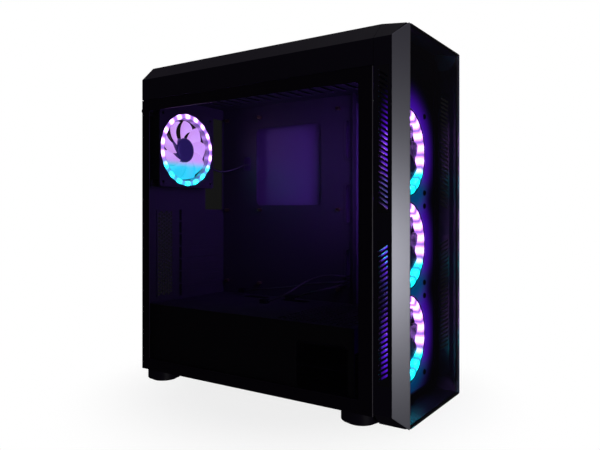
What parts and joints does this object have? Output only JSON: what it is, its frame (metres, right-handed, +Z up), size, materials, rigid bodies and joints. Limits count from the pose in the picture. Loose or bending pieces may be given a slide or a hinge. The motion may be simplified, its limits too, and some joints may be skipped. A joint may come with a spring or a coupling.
{
  "type": "desktop computer tower",
  "caption": "Black mid-tower computer case with smoked glass front, windowed side, lit ring fans, slanted side vents, satin corner strips and removable panels.",
  "frame": {"origin": "bottom centre of the bounding box, on the floor", "axes": "+Z up, front faces -Y, the windowed side faces -X"},
  "size_m": [0.2, 0.44, 0.482],
  "materials": {
    "black_steel": "fine matt black powder coat",
    "grey_steel": "bright zinc",
    "black_plastic": "satin black",
    "gloss_black": "polished black",
    "strip_metal": "satin anodised",
    "smoked_glass": "smoked, polished",
    "clear_window": "lightly tinted, polished",
    "rubber": "matt",
    "brass": "plain",
    "filter_mesh": "black mesh",
    "frosted_blade": "frosted, translucent",
    "ring_light": "milky light guide",
    "indicator": "clear light pipe",
    "cord_jacket": "black jacket"
  },
  "bodies": {
    "chassis": {"audio_jacks": "gloss_black", "base_pan": "black_steel", "cable_grommets": "rubber", "control_board": "black_plastic", "drive_cage": "black_steel", "drive_tray_lower": "black_plastic", "drive_tray_upper": "black_plastic", "expansion_slot_covers": "black_steel", "fan_hub": "black_plastic", "fan_lower_frame": "black_plastic", "fan_lower_light_ring": "ring_light", "fan_middle_frame": "black_plastic", "fan_middle_light_ring": "ring_light", "fan_rear_frame": "black_plastic", "fan_rear_light_ring": "ring_light", "fan_screws": "black_steel", "fan_upper_frame": "black_plastic", "fan_upper_light_ring": "ring_light", "feet": "black_plastic", "foot_pads": "rubber", "front_wall": "black_steel", "header_leads": "cord_jacket", "header_plugs": "gloss_black", "motherboard_standoffs": "brass", "motherboard_tray": "black_steel", "psu_case": "black_steel", "psu_fan_guard": "grey_steel", "psu_power_inlet": "black_plastic", "psu_screws": "black_steel", "psu_shroud": "black_steel", "psu_switch_frame": "black_plastic", "rear_fan_lead": "cord_jacket", "rear_vent": "black_steel", "rear_wall": "black_steel", "shroud_roof": "black_steel", "status_light": "indicator", "top_cover": "black_plastic", "top_plate": "black_steel", "usb_sockets": "grey_steel"},
    "front_bezel": {"front_bezel": "black_plastic", "side_vents_left": "black_plastic", "side_vents_right": "black_plastic", "front_glass": "smoked_glass", "trim_strip_left": "strip_metal", "trim_strip_right": "strip_metal"},
    "side_panel_left": {"side_panel_left": "black_steel", "side_window": "clear_window", "thumbscrew_left": "black_steel"},
    "side_panel_right": {"side_panel_right": "black_steel", "thumbscrews_right": "black_steel"},
    "top_dust_filter": {"top_dust_filter": "filter_mesh"},
    "psu_dust_filter": {"psu_dust_filter": "filter_mesh"},
    "power_button": {"power_button": "gloss_black"},
    "reset_button": {"reset_button": "gloss_black"},
    "psu_switch_rocker": {"psu_switch_rocker": "gloss_black"},
    "psu_fan_rotor": {"psu_fan_rotor": "black_plastic"},
    "fan_lower_rotor": {"fan_lower_rotor": "frosted_blade"},
    "fan_middle_rotor": {"fan_middle_rotor": "frosted_blade"},
    "fan_upper_rotor": {"fan_upper_rotor": "frosted_blade"},
    "fan_rear_rotor": {"fan_rear_rotor": "frosted_blade"}
  },
  "joints": [
    {"name": "fan_lower_spin", "type": "hinge", "parent": "chassis", "child": "fan_lower_rotor", "pos_m": [0, -0.1673, 0.09], "axis": [0, 1, 0], "continuous": true},
    {"name": "fan_middle_spin", "type": "hinge", "parent": "chassis", "child": "fan_middle_rotor", "pos_m": [0, -0.1673, 0.213], "axis": [0, 1, 0], "continuous": true},
    {"name": "fan_upper_spin", "type": "hinge", "parent": "chassis", "child": "fan_upper_rotor", "pos_m": [0, -0.1673, 0.336], "axis": [0, 1, 0], "continuous": true},
    {"name": "fan_rear_spin", "type": "hinge", "parent": "chassis", "child": "fan_rear_rotor", "pos_m": [-0.031, 0.1983, 0.357], "axis": [0, 1, 0], "continuous": true},
    {"name": "psu_fan_spin", "type": "hinge", "parent": "chassis", "child": "psu_fan_rotor", "pos_m": [0.003, 0.128, 0.037], "axis": [0, 0, 1], "continuous": true},
    {"name": "power_button_press", "type": "slide", "parent": "chassis", "child": "power_button", "axis": [0, 0, -1], "range_m": [0, 0.0015], "stiffness_N_per_m": 300},
    {"name": "reset_button_press", "type": "slide", "parent": "chassis", "child": "reset_button", "axis": [0, 0, -1], "range_m": [0, 0.0015], "stiffness_N_per_m": 300},
    {"name": "psu_switch_rock", "type": "hinge", "parent": "chassis", "child": "psu_switch_rocker", "pos_m": [0.052, 0.2068, 0.05], "axis": [0, 0, -1], "range_deg": [0, 16]},
    {"name": "left_panel_slide", "type": "slide", "parent": "chassis", "child": "side_panel_left", "axis": [0, 1, 0], "range_m": [0, 0.4]},
    {"name": "right_panel_slide", "type": "slide", "parent": "chassis", "child": "side_panel_right", "axis": [0, 1, 0], "range_m": [0, 0.4]},
    {"name": "front_bezel_pull", "type": "slide", "parent": "chassis", "child": "front_bezel", "axis": [0, -1, 0], "range_m": [0, 0.06]},
    {"name": "psu_filter_slide", "type": "slide", "parent": "chassis", "child": "psu_dust_filter", "axis": [0, 1, 0], "range_m": [0, 0.16]},
    {"name": "top_filter_lift", "type": "slide", "parent": "chassis", "child": "top_dust_filter", "axis": [0, 0, 1], "range_m": [0, 0.03]}
  ]
}
